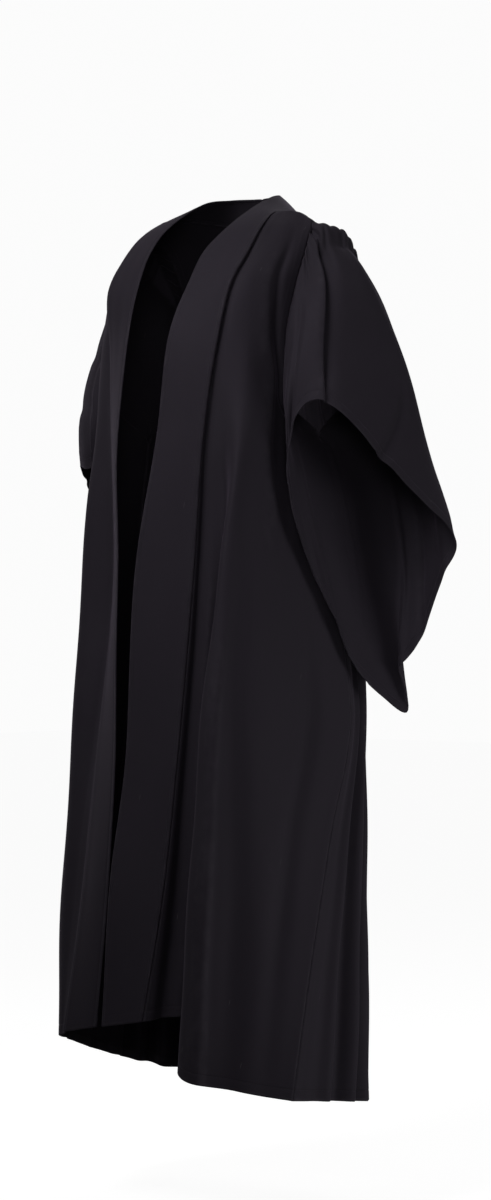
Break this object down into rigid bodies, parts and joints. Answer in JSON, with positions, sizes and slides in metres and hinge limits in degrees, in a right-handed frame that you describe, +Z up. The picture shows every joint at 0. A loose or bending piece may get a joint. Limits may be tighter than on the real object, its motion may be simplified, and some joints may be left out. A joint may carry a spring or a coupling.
{
  "type": "graduation gown",
  "caption": "Open-front black academic gown with a shaped yoke, long front bands, pleated bell sleeves open in front, and a full back falling in flutes.",
  "frame": {"origin": "midway between the two shoulder seats, at the centre of the neck opening, where the gown is carried", "axes": "+Z up, -Y to the front, +X to the wearer's left"},
  "size_m": [0.7115, 0.4932, 1.3733],
  "materials": {
    "gown_cloth": "matt black polyester suiting with a faint twill",
    "band_cloth": "the same cloth, doubled and pressed"
  },
  "bodies": {
    "root": {"yoke": "gown_cloth", "band_left": "band_cloth", "band_right": "band_cloth", "front_left": "gown_cloth", "front_right": "gown_cloth", "back": "gown_cloth", "sleeve_left": "gown_cloth", "sleeve_right": "gown_cloth"}
  },
  "joints": []
}
